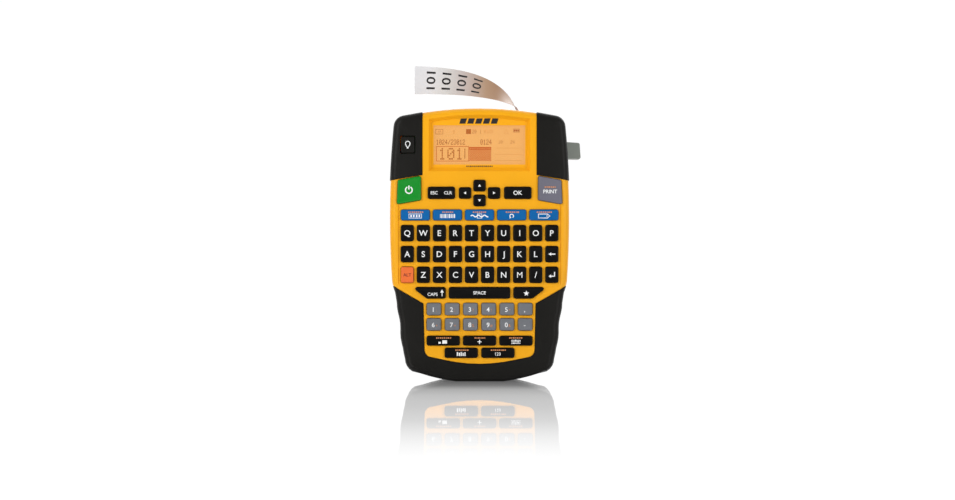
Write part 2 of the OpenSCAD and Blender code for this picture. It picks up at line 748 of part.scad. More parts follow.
module battery_contacts() {
    color([0.8, 0.8, 0.78]) for (i = [0 : len(cell_places) - 1]) {
        foot_z = i % 2 == 0 ? 15.9 : 71.1;
        step = i % 2 == 0 ? 1 : -1;
        translate([cell_places[i][0], cell_places[i][1], foot_z]) {
            translate([-4.5, -4.5, -0.3]) cube([9, 9, 0.6]);
            for (k = [0 : 1]) translate([0, 0, step * (0.55 + k * 0.28)])
            rotate_extrude() translate([3.4 - 0.5 * k, 0]) circle(r = 0.3, $fn = 16);
        }
        translate([cell_places[i][0] - 4.5, cell_places[i][1] - 4.5, i % 2 == 0 ? 71 : 15.6])
            cube([9, 9, 0.6]);
    }
}
jack_mouth_x = -56.6;
jack_pin_r = 1.05;
module dc_jack() {
    color([0.1, 0.1, 0.1]) union() {
        difference() {
            union() {
                rod_x(jack_y, jack_z, 4.2, [jack_mouth_x, -53]);
                block([-53.2, -46.3], [jack_y - 5.3, jack_y + 5.3], [jack_z - 5.3, jack_z + 5.3]);
            }
            rod_x(jack_y, jack_z, 3.2, [jack_mouth_x - 1, -47.6]);
        }
        rod_x(jack_y, jack_z, jack_pin_r, [jack_mouth_x + 1, -47]);
    }
}
module case_screws() {
    color([0.6, 0.6, 0.62]) both_sides() for (at = screw_places) {
        difference() {
            union() {
                rod_y(at, 3, [rear_y - 3.5, rear_y - 1.6]);
                rod_y(at, 1.3, [-14, rear_y - 3]);
            }
            translate([at[0], 0, at[1]]) block([-1.9, 1.9], [rear_y - 2.6, rear_y], [-0.35, 0.35]);
            translate([at[0], 0, at[1]]) block([-0.35, 0.35], [rear_y - 2.6, rear_y], [-1.9, 1.9]);
        }
    }
}

// ---------------------------------------------------------------- keys

black_key = [0.05, 0.04, 0.04];
blue_key = [0.02, 0.37, 0.65];
grey_key = [0.45, 0.47, 0.55];
module key_power() color([0.06, 0.55, 0.12]) caps([power_key]);
module key_print() color([0.53, 0.54, 0.61]) caps([mirrored(power_key)]);
module key_backlight() color([0.1, 0.1, 0.1]) {
    for (corners = backlight_key)
        slab([front_y - 0.2, front_y + 4.6]) polygon(rounded(corners, key_corner, 3));
}
module key_escape() color(black_key) caps(escape_key);
module key_ok() color(black_key) caps(ok_key);
module key_up() color(black_key) caps(up_key);
module key_down() color(black_key) caps(down_key);
module key_left() color(black_key) caps(left_key);
module key_right() color(black_key) caps(right_key);
module key_function_1() color(blue_key) caps(function_key(1));
module key_function_2() color(blue_key) caps(function_key(2));
module key_function_3() color(blue_key) caps(function_key(3));
module key_function_4() color(blue_key) caps(function_key(4));
module key_function_5() color(blue_key) caps(function_key(5));
module key_row_top() color(black_key) caps(row_top);
module key_row_middle() color(black_key) caps(row_middle);
module key_row_bottom() color(black_key) caps(row_bottom);
module key_alt() color([0.94, 0.45, 0.24]) caps(alt_key);
module key_caps() color(black_key) caps([caps_key]);
module key_space() color(black_key) caps(space_key);
module key_favourites() color(black_key) caps([mirrored(caps_key)]);
module key_row_numbers_high() color(grey_key) caps(row_numbers_high);
module key_row_numbers_low() color(grey_key) caps(row_numbers_low);
module key_menu_1() color(black_key) caps(menu_keys[0]);
module key_menu_2() color(black_key) caps(menu_keys[1]);
module key_menu_3() color(black_key) caps(menu_keys[2]);
module key_menu_4() color(black_key) caps(menu_keys[3]);
module key_menu_5() color(black_key) caps(menu_keys[4]);

front_shell();
rear_shell();
corner_bumper_left();
corner_bumper_right();
lower_grip();
display_lens();
lcd_panel();
main_board();
keypad_mat();
mechanism_frame();
drive_motor();
motor_pinion();
idler_gear();
platen_roller();
platen_gear();
ribbon_spindle();
print_head();
cutter_lever();
lever_pivot_pin();
lever_spring();
cutter_blade();
cassette_case();
tape_spool();
label_strip();
cassette_lid();
lid_latch();
battery_door();
battery_cells();
battery_contacts();
dc_jack();
case_screws();
key_power();
key_print();
key_backlight();
key_escape();
key_ok();
key_up();
key_down();
key_left();
key_right();
key_function_1();
key_function_2();
key_function_3();
key_function_4();
key_function_5();
key_row_top();
key_row_middle();
key_row_bottom();
key_alt();
key_caps();
key_space();
key_favourites();
key_row_numbers_high();
key_row_numbers_low();
key_menu_1();
key_menu_2();
key_menu_3();
key_menu_4();
key_menu_5();
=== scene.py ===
import math

import bpy
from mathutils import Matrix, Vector


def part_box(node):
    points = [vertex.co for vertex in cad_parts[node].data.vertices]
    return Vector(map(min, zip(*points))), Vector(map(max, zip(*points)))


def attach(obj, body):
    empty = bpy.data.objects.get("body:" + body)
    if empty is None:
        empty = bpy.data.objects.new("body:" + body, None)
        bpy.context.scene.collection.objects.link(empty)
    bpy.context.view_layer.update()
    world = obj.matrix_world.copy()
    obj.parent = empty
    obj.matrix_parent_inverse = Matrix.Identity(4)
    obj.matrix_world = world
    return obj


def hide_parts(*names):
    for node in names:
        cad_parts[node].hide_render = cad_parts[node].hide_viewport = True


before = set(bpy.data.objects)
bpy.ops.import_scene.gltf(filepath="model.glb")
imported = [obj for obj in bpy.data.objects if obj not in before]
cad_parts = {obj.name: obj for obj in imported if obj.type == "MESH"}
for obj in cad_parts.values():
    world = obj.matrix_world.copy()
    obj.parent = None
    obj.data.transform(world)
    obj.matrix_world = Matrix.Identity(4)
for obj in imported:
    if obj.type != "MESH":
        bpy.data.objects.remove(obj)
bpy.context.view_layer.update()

MM = 0.001
scene = bpy.context.scene
scene.view_settings.view_transform = "Standard"


# ------------------------------------------------------------------ camera, lights, stage

# The camera looks level along +Y, a little below the middle of body and label together
CAMERA_AT = Vector((-0.0013, -1.229, 0.0836))
VIEW_WIDTH = 0.605
camera_data = bpy.data.cameras.new("camera")
camera_data.sensor_width = 36.0
camera_data.lens = 36.0 * (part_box("front_shell")[0].y - CAMERA_AT.y) / VIEW_WIDTH
camera_data.clip_end = 20.0
camera = bpy.data.objects.new("camera", camera_data)
camera.location = CAMERA_AT
camera.rotation_euler = (math.radians(90), 0, 0)
scene.collection.objects.link(camera)
scene.camera = camera


def area_light(name, at, aim, size, power):
    data = bpy.data.lights.new(name, "AREA")
    data.shape = "RECTANGLE"
    data.size, data.size_y = size
    data.energy = power
    light = bpy.data.objects.new(name, data)
    light.location = at
    light.rotation_euler = (Vector(aim) - Vector(at)).to_track_quat("-Z", "Y").to_euler()
    scene.collection.objects.link(light)


area_light("key_light", (-0.95, -0.95, 0.6), (0, 0, 0.09), (0.7, 0.9), 10.3)
area_light("fill_light", (1.0, -0.95, 0.45), (0, 0, 0.09), (0.7, 0.9), 7.0)
area_light("top_light", (0, -0.15, 1.25), (0, 0, 0.1), (1.2, 0.7), 1.8)
area_light("rear_light", (0.2, 1.1, 0.8), (0, 0, 0.1), (0.9, 0.6), 6)


def axes(nodes, links, vector):
    """The X, Y and Z outputs of a vector."""
    split = nodes.new("ShaderNodeSeparateXYZ")
    links.new(vector, split.inputs[0])
    return split.outputs


def map_range(nodes, links, value, source=(0, 1), target=(0, 1)):
    """A value carried over from the source range to the target range."""
    node = nodes.new("ShaderNodeMapRange")
    node.inputs["From Min"].default_value, node.inputs["From Max"].default_value = source
    node.inputs["To Min"].default_value, node.inputs["To Max"].default_value = target
    links.new(value, node.inputs["Value"])
    return node.outputs["Result"]


# Where a direction turns from the dim room to the white sweep, and the levels of those two
SWEEP_FROM_TO = (-0.25, 0.45)
SWEEP_LEVELS = (0.16, 1.02)


def studio_world():
    """A white sweep behind the object and a dim room on the camera's side."""
    world = bpy.data.worlds.new("studio")
    world.use_nodes = True
    nodes, links = world.node_tree.nodes, world.node_tree.links
    direction = nodes.new("ShaderNodeTexCoord").outputs["Generated"]
    level = map_range(nodes, links, axes(nodes, links, direction)["Y"], SWEEP_FROM_TO, SWEEP_LEVELS)
    level.node.interpolation_type = "SMOOTHSTEP"
    links.new(level, nodes["Background"].inputs["Strength"])
    nodes["Background"].inputs["Color"].default_value = (1, 1, 1, 1)
    scene.world = world


studio_world()


# ------------------------------------------------------------------ materials

def new_material(name):
    """A new material, its nodes, links and main shader, and the object's own coordinates."""
    mat = bpy.data.materials.new(name)
    mat.use_nodes = True
    nodes, links = mat.node_tree.nodes, mat.node_tree.links
    return mat, nodes, links, nodes["Principled BSDF"], nodes.new("ShaderNodeTexCoord").outputs["Object"]


def math_node(nodes, links, operation, first, second):
    """Arithmetic on an output and a second output or number."""
    node = nodes.new("ShaderNodeMath")
    node.operation = operation
    links.new(first, node.inputs[0])
    if isinstance(second, float):
        node.inputs[1].default_value = second
    else:
        links.new(second, node.inputs[1])
    return node.outputs[0]


def noise_node(nodes, links, coords, scale, detail=3.0, rough=0.55):
    tex = nodes.new("ShaderNodeTexNoise")
    tex.inputs["Scale"].default_value = scale
    tex.inputs["Detail"].default_value = detail
    tex.inputs["Roughness"].default_value = rough
    links.new(coords, tex.inputs["Vector"])
    return tex.outputs["Fac"]


def ramp(nodes, links, fac, stops):
    node = nodes.new("ShaderNodeValToRGB")
    elements = node.color_ramp.elements
    while len(elements) < len(stops):
        elements.new(0.5)
    for element, (place, colour) in zip(elements, stops):
        element.position = place
        element.color = (*colour, 1)
    links.new(fac, node.inputs["Fac"])
    return node.outputs["Color"]


def shade(colour, k):
    return tuple(min(1.0, c * k) for c in colour)


def moulded(name, colour, rough=0.45, spread=0.06, vary=0.05, grain=2600, depth=0.03, pits=0.0,
            metallic=0.0, coat=0.0, specular=0.5):
    """A moulded surface: fine grain in the bump, slow drifts of colour and of gloss."""
    mat, nodes, links, bsdf, coords = new_material(name)
    slow = noise_node(nodes, links, coords, 38.0, 4.0)
    fine = noise_node(nodes, links, coords, grain, 2.0, 0.6)
    links.new(ramp(nodes, links, slow, [(0.3, shade(colour, 1 - vary)), (0.7, shade(colour, 1 + vary))]),
              bsdf.inputs["Base Color"])
    wear = noise_node(nodes, links, coords, 190.0, 5.0, 0.7)
    gloss = map_range(nodes, links, wear, target=(rough - spread, rough + spread))
    links.new(gloss, bsdf.inputs["Roughness"])
    bump = nodes.new("ShaderNodeBump")
    bump.inputs["Strength"].default_value = 1.0
    bump.inputs["Distance"].default_value = depth * MM
    height = fine
    if pits:
        cells = nodes.new("ShaderNodeTexVoronoi")
        cells.inputs["Scale"].default_value = grain * 0.5
        links.new(coords, cells.inputs["Vector"])
        mix = nodes.new("ShaderNodeMath")
        mix.operation = "MULTIPLY_ADD"
        mix.inputs[1].default_value = pits
        links.new(cells.outputs["Distance"], mix.inputs[0])
        links.new(fine, mix.inputs[2])
        height = mix.outputs["Value"]
    links.new(height, bump.inputs["Height"])
    links.new(bump.outputs["Normal"], bsdf.inputs["Normal"])
    bsdf.inputs["Metallic"].default_value = metallic
    bsdf.inputs["Coat Weight"].default_value = coat
    bsdf.inputs["Coat Roughness"].default_value = 0.2
    bsdf.inputs["Specular IOR Level"].default_value = specular
    return mat


KEY_FINISH = {"grain": 3000, "depth": 0.008, "specular": 0.14}
INK_FINISH = {"rough": 0.4, "grain": 2500, "depth": 0.004}
METAL_FINISH = {"vary": 0.06, "grain": 1500, "depth": 0.008, "metallic": 1.0}
yellow_plastic = moulded("yellow_plastic", (0.89, 0.40, 0.007), rough=0.36, vary=0.03, grain=2200, depth=0.03,
                         pits=0.6, specular=0.22)
black_rubber = moulded("black_rubber", (0.0085, 0.008, 0.0068), rough=0.45, vary=0.12, grain=3200, depth=0.03,
                       pits=0.8, specular=0.14)
black_plastic = moulded("black_plastic", (0.016, 0.016, 0.017), rough=0.5, vary=0.1, grain=2400, depth=0.05,
                        pits=0.7)
black_key = moulded("black_key", (0.002, 0.0017, 0.0017), rough=0.33, vary=0.1, **KEY_FINISH)
green_key = moulded("green_key", (0.008, 0.262, 0.022), rough=0.3, vary=0.06, coat=0.2, **KEY_FINISH)
blue_key = moulded("blue_key", (0.0035, 0.118, 0.365), rough=0.33, vary=0.06, **KEY_FINISH)
grey_key = moulded("grey_key", (0.17, 0.178, 0.195), rough=0.36, vary=0.05, **KEY_FINISH)
print_key = moulded("print_key", (0.155, 0.152, 0.19), rough=0.34, vary=0.05, **KEY_FINISH)
orange_key = moulded("orange_key", (0.80, 0.165, 0.042), rough=0.34, vary=0.05, **KEY_FINISH)
lever_plastic = moulded("lever_plastic", (0.29, 0.315, 0.28), rough=0.35, vary=0.06, grain=2400, depth=0.02)
pale_plastic = moulded("pale_plastic", (0.62, 0.62, 0.58), rough=0.38, vary=0.03, grain=2400, depth=0.02)
acetal = moulded("acetal", (0.72, 0.71, 0.64), rough=0.35, vary=0.03, grain=1800, depth=0.01)
silicone = moulded("silicone", (0.16, 0.16, 0.175), rough=0.6, vary=0.06, grain=2500, depth=0.02)
solder_mask = moulded("solder_mask", (0.006, 0.085, 0.03), rough=0.28, vary=0.12, grain=900, depth=0.01)
steel = moulded("steel", (0.52, 0.53, 0.55), rough=0.3, **METAL_FINISH)
brass = moulded("brass", (0.66, 0.44, 0.15), rough=0.28, **METAL_FINISH)
roller_rubber = moulded("roller_rubber", (0.02, 0.02, 0.02), rough=0.7, vary=0.1, grain=3000, depth=0.03)
spool_film = moulded("spool_film", (0.74, 0.74, 0.77), rough=0.25, vary=0.04, grain=500, depth=0.01)
white_ink = moulded("white_ink", (0.86, 0.87, 0.87), vary=0.02, **INK_FINISH)
warm_ink = moulded("warm_ink", (0.62, 0.25, 0.10), vary=0.04, **INK_FINISH)
dark_ink = moulded("dark_ink", (0.012, 0.010, 0.010), vary=0.1, **INK_FINISH)
maroon_ink = moulded("maroon_ink", (0.22, 0.012, 0.006), vary=0.1, **INK_FINISH)

# Tones along a cell, from its flat end (0) to its terminal (1): rim, dark sleeve, copper sleeve, rim.
# Then the heights that the cells span, and the depth at which their two layers meet.
CELL_TONES = [(0.0, (0.55, 0.55, 0.55)), (0.045, (0.02, 0.035, 0.06)), (0.72, (0.5, 0.2, 0.06)),
              (0.955, (0.6, 0.6, 0.6))]
CELLS_FROM_TO = (0.0186, 0.0698)
CELL_LAYERS_PART = 0.0106


def cell_material():
    """Printed sleeve of a dry cell. The rear layer of cells stands the other way up."""
    mat, nodes, links, bsdf, coords = new_material("cell_sleeve")
    place = axes(nodes, links, coords)
    along = map_range(nodes, links, place["Z"], CELLS_FROM_TO)
    rear = math_node(nodes, links, "GREATER_THAN", place["Y"], CELL_LAYERS_PART)
    turned = math_node(nodes, links, "SUBTRACT", rear, along)
    bands = ramp(nodes, links, math_node(nodes, links, "ABSOLUTE", turned, 0.0), CELL_TONES)
    bands.node.color_ramp.interpolation = "CONSTANT"
    links.new(bands, bsdf.inputs["Base Color"])
    bsdf.inputs["Metallic"].default_value = 0.6
    gloss = map_range(nodes, links, noise_node(nodes, links, coords, 300.0), target=(0.2, 0.32))
    links.new(gloss, bsdf.inputs["Roughness"])
    return mat


cell_sleeve = cell_material()

# Painted shade and painted warm reflection of the yellow casing on the label: tones from its pale free end
# (0) to the dark brown by the slot (1), and where those two ends lie across the object
LABEL_PAINTED_SHADE = [(0.0, (0.74, 0.745, 0.77)), (0.15, (0.76, 0.76, 0.78)), (0.29, (0.675, 0.67, 0.66)),
               (0.44, (0.59, 0.52, 0.5)), (0.66, (0.48, 0.31, 0.2)), (0.75, (0.43, 0.25, 0.145)),
               (1.0, (0.36, 0.2, 0.12))]
LABEL_SHADE_ACROSS = (-0.042, 0.028)


def painted_shade_tape_material():
    """Laminated label stock. Its colour carries painted shade and a painted warm reflection of the casing,
    growing darker and browner towards the slot.
    """
    mat, nodes, links, bsdf, coords = new_material("label_stock_with_painted_shade")
    along = map_range(nodes, links, axes(nodes, links, coords)["X"], LABEL_SHADE_ACROSS)
    mix = nodes.new("ShaderNodeMix")
    mix.data_type = "RGBA"
    mix.blend_type = "MULTIPLY"
    mix.inputs["Factor"].default_value = 1.0
    # Painted shade and casing reflection, set by position across the object, times a faint fibre grain
    links.new(ramp(nodes, links, along, LABEL_PAINTED_SHADE), mix.inputs["A"])
    fibres = noise_node(nodes, links, coords, 900.0)
    links.new(ramp(nodes, links, fibres, [(0.3, (0.97,) * 3), (0.7, (1.0,) * 3)]), mix.inputs["B"])
    links.new(mix.outputs["Result"], bsdf.inputs["Base Color"])
    bump = nodes.new("ShaderNodeBump")
    bump.inputs["Distance"].default_value = 0.004 * MM
    links.new(noise_node(nodes, links, coords, 1400.0), bump.inputs["Height"])
    links.new(bump.outputs["Normal"], bsdf.inputs["Normal"])
    bsdf.inputs["Roughness"].default_value = 0.4
    bsdf.inputs["Specular IOR Level"].default_value = 0.15
    return mat


def gain(nodes, links, colour, k):
    node = nodes.new("ShaderNodeMix")
    node.data_type = "RGBA"
    node.inputs["Factor"].default_value = k
    node.inputs["A"].default_value = (0, 0, 0, 1)
    links.new(colour, node.inputs["B"])
    return node.outputs["Result"]


def glowing(name, colour, strength, pixel=0.0):
    """A backlit surface. Its pixels show as a faint grid of darker lines, pixel metres apart."""
    mat, nodes, links, bsdf, coords = new_material(name)
    slow = noise_node(nodes, links, coords, 22.0, 2.0)
    tint = ramp(nodes, links, slow, [(0.25, shade(colour, 0.95)), (0.75, shade(colour, 1.04))])
    if pixel:
        place = axes(nodes, links, coords)
        lines = []
        for axis in ("X", "Z"):
            saw = math_node(nodes, links, "PINGPONG", place[axis], pixel / 2)
            lines.append(math_node(nodes, links, "LESS_THAN", saw, pixel * 0.06))
        mix = nodes.new("ShaderNodeMix")
        mix.data_type = "RGBA"
        mix.inputs["B"].default_value = (*shade(colour, 0.86), 1)
        links.new(math_node(nodes, links, "MAXIMUM", *lines), mix.inputs["Factor"])
        links.new(tint, mix.inputs["A"])
        tint = mix.outputs["Result"]
    links.new(tint, bsdf.inputs["Emission Color"])
    links.new(gain(nodes, links, tint, 0.15), bsdf.inputs["Base Color"])
    bsdf.inputs["Emission Strength"].default_value = strength
    bsdf.inputs["Roughness"].default_value = 0.5
    bsdf.inputs["Specular IOR Level"].default_value = 0.1
    return mat


def clear_window():
    """The display's lens, thin enough to leave the backlight almost as it is."""
    mat, nodes, links, bsdf, coords = new_material("clear_window")
    smear = map_range(nodes, links, noise_node(nodes, links, coords, 120.0, 5.0, 0.7), target=(0.03, 0.08))
    links.new(smear, bsdf.inputs["Roughness"])
    bsdf.inputs["Base Color"].default_value = (0.9, 0.5, 0.2, 1)
    bsdf.inputs["Specular IOR Level"].default_value = 0.25
    bsdf.inputs["Alpha"].default_value = 0.05
    return mat


label_stock_with_painted_shade = painted_shade_tape_material()
lcd_glow = glowing("lcd_glow", (0.97, 0.485, 0.15), 0.79, pixel=0.00042)
lcd_pixel = glowing("lcd_pixel", (0.76, 0.1, 0.004), 0.58)
lcd_text = glowing("lcd_text", (0.5, 0.06, 0.004), 0.5)
lcd_middle = glowing("lcd_middle", (0.62, 0.15, 0.02), 0.55)
lcd_pale = glowing("lcd_pale", (0.85, 0.29, 0.05), 0.66)
window_clear = clear_window()

# Share of the floor that mirrors, from half a metre in front of the object (0) up to it (1)
FLOOR_MIRROR = [(0.0, 0.02), (0.06, 0.05), (0.15, 0.115), (0.25, 0.205), (0.4, 0.36), (0.56, 0.44),
                (0.64, 0.46), (0.72, 0.5), (0.81, 0.6), (0.88, 0.81), (1.0, 0.95)]
MIRROR_FROM_TO = (-0.5, 0.0)
# Distance behind the object over which the floor turns into the sweep, and half the floor's width
FLOOR_FADES = (0.1, 0.5)
FLOOR_HALF = 6


def floor_material():
    """White acrylic, lit from below. Its mirror image is strongest beside the object and dies away towards
    the camera. Behind the object the floor itself fades into the white sweep."""
    mat, nodes, links, bsdf, coords = new_material("studio_floor")
    drift = noise_node(nodes, links, coords, 3.0)
    tone = ramp(nodes, links, drift, [(0.0, (0.055,) * 3), (1.0, (0.065,) * 3)])
    links.new(tone, bsdf.inputs["Base Color"])
    bsdf.inputs["Roughness"].default_value = 0.9
    bsdf.inputs["Specular IOR Level"].default_value = 0.0
    bsdf.inputs["Emission Color"].default_value = (1, 1, 1, 1)
    bsdf.inputs["Emission Strength"].default_value = 1.0
    mirror = nodes.new("ShaderNodeBsdfGlossy")
    mirror.inputs["Color"].default_value = (1, 1, 1, 1)
    mirror.inputs["Roughness"].default_value = 0.02
    depth = axes(nodes, links, coords)["Y"]
    near = map_range(nodes, links, depth, MIRROR_FROM_TO)
    share = ramp(nodes, links, near, [(place, (level,) * 3) for place, level in FLOOR_MIRROR])
    mix = nodes.new("ShaderNodeMixShader")
    links.new(share, mix.inputs["Fac"])
    links.new(bsdf.outputs[0], mix.inputs[1])
    links.new(mirror.outputs[0], mix.inputs[2])
    open_end = nodes.new("ShaderNodeMixShader")
    links.new(map_range(nodes, links, depth, FLOOR_FADES), open_end.inputs["Fac"])
    links.new(mix.outputs[0], open_end.inputs[1])
    links.new(nodes.new("ShaderNodeBsdfTransparent").outputs[0], open_end.inputs[2])
    links.new(open_end.outputs[0], nodes["Material Output"].inputs["Surface"])
    return mat


# ------------------------------------------------------------------ mesh helpers

def add_mesh(name, verts, faces, material, smooth=True):
    mesh = bpy.data.meshes.new(name)
    mesh.from_pydata([tuple(v) for v in verts], [], faces)
    mesh.materials.append(material)
    if smooth:
        mesh.shade_smooth()
    obj = bpy.data.objects.new(name, mesh)
    scene.collection.objects.link(obj)
    return obj


floor_corners = [(x * FLOOR_HALF, y * FLOOR_HALF, 0) for x, y in ((-1, -1), (1, -1), (1, 1), (-1, 1))]
add_mesh("floor", floor_corners, [(0, 1, 2, 3)], floor_material(), smooth=False)


def edge_normal(p, q):
    """The direction square to the edge from p to q, on its right."""
    d = (q - p).normalized()
    return Vector((d.y, -d.x))


def inset_ring(ring, d):
    """An anticlockwise outline moved inwards by d, its edges kept parallel."""
    n = len(ring)
    out = []
    for i in range(n):
        before, after = edge_normal(ring[i - 1], ring[i]), edge_normal(ring[i], ring[(i + 1) % n])
        out.append(ring[i] - (before + after) * d / (1 + before.dot(after)))
    return out


def front_outlines(node):
    """The outlines of a CAD node's front faces, one for each separate solid, from left to right."""
    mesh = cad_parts[node].data
    places = [(round(v.co.x, 6), round(v.co.y, 6), round(v.co.z, 6)) for v in mesh.vertices]
    group = {p: p for p in places}

    def root(p):
        while group[p] != p:
            p = group[p]
        return p

    for polygon in mesh.polygons:
        corners = [root(places[i]) for i in polygon.vertices]
        for c in corners[1:]:
            group[root(c)] = root(corners[0])
    front = min(p[1] for p in places)
    solids = {}
    for p in set(places):
        if p[1] < front + 0.01 * MM:
            solids.setdefault(root(p), []).append(Vector((p[0], p[2])))
    outlines = []
    for ring in solids.values():
        middle = sum(ring, Vector((0, 0))) / len(ring)
        outlines.append(sorted(ring, key=lambda p: math.atan2(p.y - middle.y, p.x - middle.x)))
    return sorted(outlines, key=lambda ring: flat_middle(ring).x)


def flat_middle(ring):
    """The middle of the box round an outline."""
    low = Vector((min(p.x for p in ring), min(p.y for p in ring)))
    high = Vector((max(p.x for p in ring), max(p.y for p in ring)))
    return (low + high) / 2


EDGE_RADIUS = 0.55 * MM
EDGE_STEPS = 4
DISH = 0.18 * MM
DISH_SHARES = (0.86, 0.62, 0.34)


def keycap_rings(ring, front_y, back_y):
    """A keycap: straight sides, a rounded front edge and a shallow dish."""
    rings = [[(p, back_y) for p in ring]]
    for k in range(EDGE_STEPS + 1):
        a = math.radians(90 * k / EDGE_STEPS)
        y = front_y + EDGE_RADIUS * (1 - math.sin(a))
        rings.append([(p, y) for p in inset_ring(ring, EDGE_RADIUS * (1 - math.cos(a)))])
    edge = inset_ring(ring, EDGE_RADIUS)
    middle = flat_middle(edge)
    for share in DISH_SHARES:
        y = front_y + DISH * (1 - share * share)
        rings.append([(middle + (p - middle) * share, y) for p in edge])
    return rings, (middle, front_y + DISH)


def keycap(node, material, front_y, back_y):
    """The visible caps that take the place of a CAD key node."""
    verts, faces = [], []
    for ring in front_outlines(node):
        rings, (middle, middle_y) = keycap_rings(ring, front_y, back_y)
        start, n = len(verts), len(ring)
        for one in rings:
            verts += [Vector((p.x, y, p.y)) for p, y in one]
        for j in range(len(rings) - 1):
            for i in range(n):
                a, b = start + j * n + i, start + j * n + (i + 1) % n
                faces.append((a, b, b + n, a + n))
        last = start + (len(rings) - 1) * n
        verts.append(Vector((middle.x, middle_y, middle.y)))
        centre = len(verts) - 1
        faces += [(last + i, last + (i + 1) % n, centre) for i in range(n)]
        faces.append(tuple(start + i for i in reversed(range(n))))
    cap = add_mesh(node + "_cap", verts, faces, material)
    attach(cap, node)
    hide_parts(node)


# ------------------------------------------------------------------ legends

INK_LIFT = 0.03 * MM
INK_THICKNESS = 0.02 * MM
# Height of a capital as a share of the type size
CAPITAL_SHARE = 0.69


def word(text, height, bold=0.00004):
    """Flat outline text as vertices and faces, centred on its own box. Height is that of a capital."""
    curve = bpy.data.curves.new("glyph", "FONT")
    curve.body = text
    curve.size = height / CAPITAL_SHARE
    curve.offset = bold
    curve.resolution_u = 4
    holder = bpy.data.objects.new("glyph", curve)
    scene.collection.objects.link(holder)
    mesh = bpy.data.meshes.new_from_object(holder.evaluated_get(bpy.context.evaluated_depsgraph_get()))
    verts = [Vector((v.co.x, v.co.y)) for v in mesh.vertices]
    faces = [tuple(p.vertices) for p in mesh.polygons]
    bpy.data.objects.remove(holder)
    bpy.data.curves.remove(curve)
    bpy.data.meshes.remove(mesh)
    middle_x = (min(v.x for v in verts) + max(v.x for v in verts)) / 2
    return [v - Vector((middle_x, height / 2)) for v in verts], faces


def stroke(points, width, closed=False):
    """A line of constant width through points, as vertices and faces."""
    n = len(points)
    left, right = [], []
    for i, p in enumerate(points):
        before = points[i - 1] if i or closed else None
        after = points[(i + 1) % n] if i < n - 1 or closed else None
        d = ((p - before).normalized() if before is not None else Vector((0, 0))) + (
            (after - p).normalized() if after is not None else Vector((0, 0)))
        side = Vector((-d.y, d.x)).normalized() * width / 2
        left.append(p + side)
        right.append(p - side)
    faces = [(i, i + n, (i + 1) % n + n, (i + 1) % n) for i in range(n if closed else n - 1)]
    return left + right, faces


def arc(centre, r, start, end, steps=20):
    """Points along an arc. Angles are in degrees, anticlockwise."""
    return [centre + r * Vector((math.cos(a), math.sin(a)))
            for a in (math.radians(start + (end - start) * k / steps) for k in range(steps + 1))]


def disc(centre, r, steps=20):
    return arc(centre, r, 0, 360 - 360 / steps, steps - 1), [tuple(range(steps))]


def path(*places):
    """Points from places in millimetres."""
    return [Vector((x * MM, z * MM)) for x, z in places]


def box_ring(x0, x1, z0, z1):
    return path((x0, z0), (x1, z0), (x1, z1), (x0, z1))


def bar(x0, x1, z0, z1):
    """A filled rectangle, in millimetres."""
    return box_ring(x0, x1, z0, z1), [(0, 1, 2, 3)]


def merged(shapes):
    """Several shapes as one."""
    verts, faces = [], []
    for v, f in shapes:
        faces += [tuple(i + len(verts) for i in face) for face in f]
        verts += v
    return verts, faces


def moved(shape, dx, dz):
    return [v + Vector((dx, dz)) for v in shape[0]], shape[1]


def dish_depth(x, z, outlines):
    """How far the dished face lies below its rim at a point, for whichever cap the point is on."""
    for edge in outlines:
        middle = flat_middle(edge)
        away = Vector((x, z)) - middle
        share = max(edge_normal(p, q).dot(away) / edge_normal(p, q).dot(p - middle)
                    for p, q in zip(edge, edge[1:] + edge[:1]))
        if share < 1:
            return DISH * (1 - share * share)
    return 0.0


def ink(name, placed, y, material, body, outlines=()):
    """Printed shapes lying on a face that looks towards -Y. placed holds (shape, middle x, middle z)."""
    verts, faces = [], []
    edges = [inset_ring(ring, EDGE_RADIUS) for ring in outlines]
    for (shape_verts, shape_faces), cx, cz in placed:
        start = len(verts)
        for v in shape_verts:
            x, z = v.x + cx, v.y + cz
            verts.append(Vector((x, y + dish_depth(x, z, edges) - INK_LIFT, z)))
        faces += [tuple(start + i for i in face) for face in shape_faces]
    piece = add_mesh(name, verts, faces, material, smooth=False)
    solid = piece.modifiers.new("thickness", "SOLIDIFY")
    solid.thickness = INK_THICKNESS
    solid.offset = 0
    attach(piece, body)


def triangle(direction, size):
    pts = [Vector((size * 0.6, 0)), Vector((-size * 0.45, size * 0.62)), Vector((-size * 0.45, -size * 0.62))]
    turn = {"right": 0, "up": 90, "left": 180, "down": 270}[direction]
    c, s = math.cos(math.radians(turn)), math.sin(math.radians(turn))
    return [Vector((c * p.x - s * p.y, s * p.x + c * p.y)) for p in pts], [(0, 1, 2)]


def scaled(size, *places):
    """Points from places given as shares of a size."""
    return [Vector((size * x, size * z)) for x, z in places]


def arrow(size, width, line, head):
    """A line through the first places, with a three-cornered head on the last ones, as shares of size."""
    return merged([stroke(scaled(size, *line), width), (scaled(size, *head), [(0, 1, 2)])])


def arrow_left(size, width):
    return arrow(size, width, [(-0.3, 0), (0.5, 0)], [(-0.5, 0), (-0.1, -0.24), (-0.1, 0.24)])


def return_arrow(size, width):
    return arrow(size, width, [(0.5, 0.55), (0.5, -0.25), (-0.25, -0.25)],
                 [(-0.62, -0.25), (-0.15, -0.58), (-0.15, 0.08)])


def up_arrow(size, width):
    return arrow(size, width, [(0, -0.5), (0, 0.15)], [(0, 0.6), (-0.3, 0.1), (0.3, 0.1)])


def power_icon(r, width):
    ring = stroke(arc(Vector((0, 0)), r, 118, 422, 28), width)
    tick = stroke([Vector((0, r * 0.15)), Vector((0, r * 1.35))], width)
    return merged([ring, tick])


